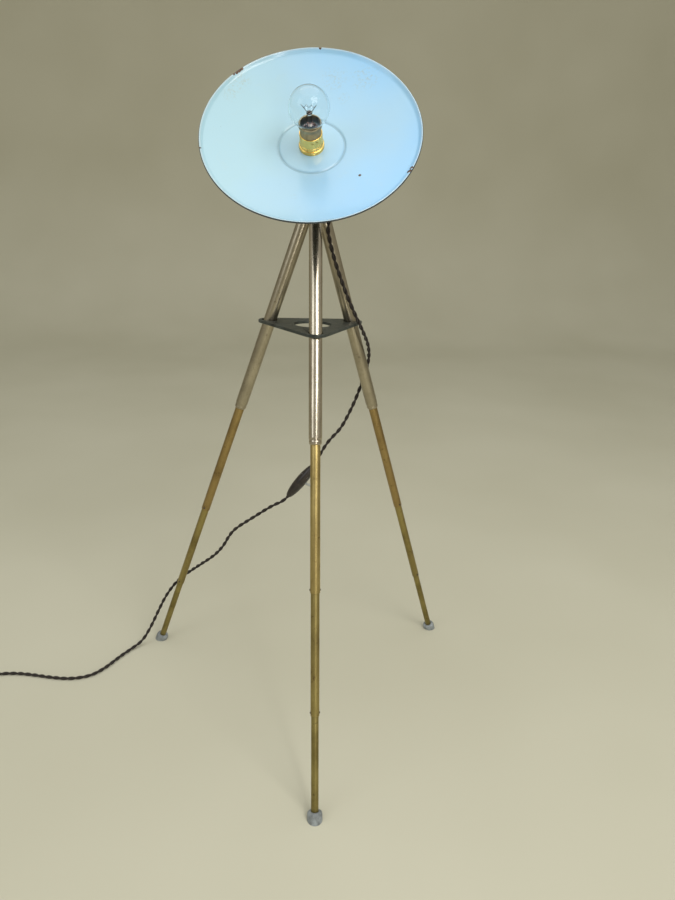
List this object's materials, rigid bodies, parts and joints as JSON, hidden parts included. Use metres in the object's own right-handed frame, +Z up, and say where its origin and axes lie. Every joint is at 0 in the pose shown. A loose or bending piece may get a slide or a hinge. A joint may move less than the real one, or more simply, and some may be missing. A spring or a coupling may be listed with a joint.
{
  "type": "tripod floor lamp",
  "caption": "Floor lamp on a folding telescopic brass tripod with a tilting enamel dish shade, bare round bulb, spreader plate, twisted flex, inline switch and plug.",
  "frame": {"origin": "on the floor, under the middle of the tripod's footprint from front to back, and under its axis from side to side", "axes": "+Z up; -Y is the front, the way the shade faces; +X to the right as seen from the front"},
  "size_m": [1.0594, 0.5556, 1.177],
  "materials": {
    "nickel_plate": "polished, worn",
    "golden_brass": "aged satin",
    "olive_brass": "dull aged",
    "grey_rubber": "matte",
    "fibre": "matte",
    "dark_steel": "dull",
    "steel": "satin",
    "turned_brass": "satin",
    "aged_brass": "aged",
    "bakelite": "gloss",
    "porcelain": "gloss",
    "enamel": "gloss enamel",
    "clear_glass": "clear",
    "cap_brass": "satin",
    "filament": "dull",
    "black_paint": "semi-gloss, worn",
    "braided_flex": "twisted braid",
    "grey_toggle": "satin"
  },
  "bodies": {
    "base": {"crown": "turned_brass", "hinge_pins": "steel", "stem": "turned_brass", "stem_nut": "steel", "cord_bush": "bakelite", "cord_to_switch": "braided_flex", "switch_cover": "bakelite", "switch_base": "bakelite", "switch_screws": "steel", "switch_contacts": "turned_brass", "cord_to_coil": "braided_flex", "cord_coil": "braided_flex", "cord_tail": "braided_flex", "plug_body": "bakelite", "plug_pins": "turned_brass"},
    "swivel": {"swivel": "turned_brass", "tilt_bolt": "steel", "tilt_nut": "steel"},
    "head": {"knuckle": "turned_brass", "holder_cap": "turned_brass", "holder_base": "porcelain", "holder_terminals": "turned_brass", "holder_barrel": "aged_brass", "shade_ring": "turned_brass", "holder_lip": "bakelite", "shade": "enamel", "bulb_glass": "clear_glass", "bulb_cap": "cap_brass", "bulb_contact": "cap_brass", "bulb_stem": "clear_glass", "bulb_filament": "filament"},
    "spreader": {"spreader_plate": "black_paint"},
    "switch_lever": {"switch_lever": "grey_toggle"},
    "leg_front_top": {"leg_front_lug": "steel", "leg_front_outer_tube": "nickel_plate"},
    "leg_front_upper": {"leg_front_upper_tube": "golden_brass", "leg_front_guide_bush": "fibre", "leg_front_upper_catches": "dark_steel"},
    "leg_front_middle": {"leg_front_middle_tube": "olive_brass", "leg_front_middle_catches": "dark_steel"},
    "leg_front_lower": {"leg_front_lower_tube": "olive_brass", "leg_front_foot": "grey_rubber"},
    "leg_right_top": {"leg_right_lug": "steel", "leg_right_outer_tube": "nickel_plate"},
    "leg_right_upper": {"leg_right_upper_tube": "golden_brass", "leg_right_guide_bush": "fibre", "leg_right_upper_catches": "dark_steel"},
    "leg_right_middle": {"leg_right_middle_tube": "olive_brass", "leg_right_middle_catches": "dark_steel"},
    "leg_right_lower": {"leg_right_lower_tube": "olive_brass", "leg_right_foot": "grey_rubber"},
    "leg_left_top": {"leg_left_lug": "steel", "leg_left_outer_tube": "nickel_plate"},
    "leg_left_upper": {"leg_left_upper_tube": "golden_brass", "leg_left_guide_bush": "fibre", "leg_left_upper_catches": "dark_steel"},
    "leg_left_middle": {"leg_left_middle_tube": "olive_brass", "leg_left_middle_catches": "dark_steel"},
    "leg_left_lower": {"leg_left_lower_tube": "olive_brass", "leg_left_foot": "grey_rubber"}
  },
  "joints": [
    {"name": "lamp_swivel", "type": "hinge", "parent": "base", "child": "swivel", "pos_m": [0, 0.08856, 0.966], "axis": [0, 0, 1], "range_deg": [-60, 60]},
    {"name": "lamp_tilt", "type": "hinge", "parent": "swivel", "child": "head", "pos_m": [0, 0.08856, 0.993], "axis": [0.9885, -0.1513, 0], "range_deg": [-50, 40]},
    {"name": "leg_front_fold", "type": "hinge", "parent": "base", "child": "leg_front_top", "pos_m": [0, 0.07506, 0.93291], "axis": [1, 0, 0], "range_deg": [0, 3.5]},
    {"name": "leg_front_upper_slide", "type": "slide", "parent": "leg_front_top", "child": "leg_front_upper", "axis": [0, 0.342, 0.9397], "range_m": [0, 0.225]},
    {"name": "leg_front_middle_slide", "type": "slide", "parent": "leg_front_upper", "child": "leg_front_middle", "axis": [0, 0.342, 0.9397], "range_m": [0, 0.185]},
    {"name": "leg_front_lower_slide", "type": "slide", "parent": "leg_front_middle", "child": "leg_front_lower", "axis": [0, 0.342, 0.9397], "range_m": [0, 0.14]},
    {"name": "leg_right_fold", "type": "hinge", "parent": "base", "child": "leg_right_top", "pos_m": [0.01169, 0.09531, 0.93291], "axis": [-0.5, 0.866, 0], "range_deg": [0, 3.5]},
    {"name": "leg_right_upper_slide", "type": "slide", "parent": "leg_right_top", "child": "leg_right_upper", "axis": [-0.2962, -0.171, 0.9397], "range_m": [0, 0.225]},
    {"name": "leg_right_middle_slide", "type": "slide", "parent": "leg_right_upper", "child": "leg_right_middle", "axis": [-0.2962, -0.171, 0.9397], "range_m": [0, 0.185]},
    {"name": "leg_right_lower_slide", "type": "slide", "parent": "leg_right_middle", "child": "leg_right_lower", "axis": [-0.2962, -0.171, 0.9397], "range_m": [0, 0.14]},
    {"name": "leg_left_fold", "type": "hinge", "parent": "base", "child": "leg_left_top", "pos_m": [-0.01203, 0.09469, 0.93291], "axis": [-0.454, -0.891, 0], "range_deg": [0, 3.5]},
    {"name": "leg_left_upper_slide", "type": "slide", "parent": "leg_left_top", "child": "leg_left_upper", "axis": [0.3047, -0.1553, 0.9397], "range_m": [0, 0.225]},
    {"name": "leg_left_middle_slide", "type": "slide", "parent": "leg_left_upper", "child": "leg_left_middle", "axis": [0.3047, -0.1553, 0.9397], "range_m": [0, 0.185]},
    {"name": "leg_left_lower_slide", "type": "slide", "parent": "leg_left_middle", "child": "leg_left_lower", "axis": [0.3047, -0.1553, 0.9397], "range_m": [0, 0.14]},
    {"name": "spreader_slide", "type": "slide", "parent": "base", "child": "spreader", "axis": [0, 0, -1], "range_m": [0, 0.04373]},
    {"name": "switch_toggle", "type": "hinge", "parent": "base", "child": "switch_lever", "pos_m": [-0.00575, 0.1872, 0.40553], "axis": [-0.3433, -0.9265, 0.1541], "range_deg": [-44, 0]}
  ],
  "couplings": [
    {"joint": "leg_right_fold", "follows": "leg_front_fold", "ratio": 1},
    {"joint": "leg_left_fold", "follows": "leg_front_fold", "ratio": 1},
    {"joint": "spreader_slide", "follows": "leg_front_fold", "m_per_rad": 0.71255}
  ]
}
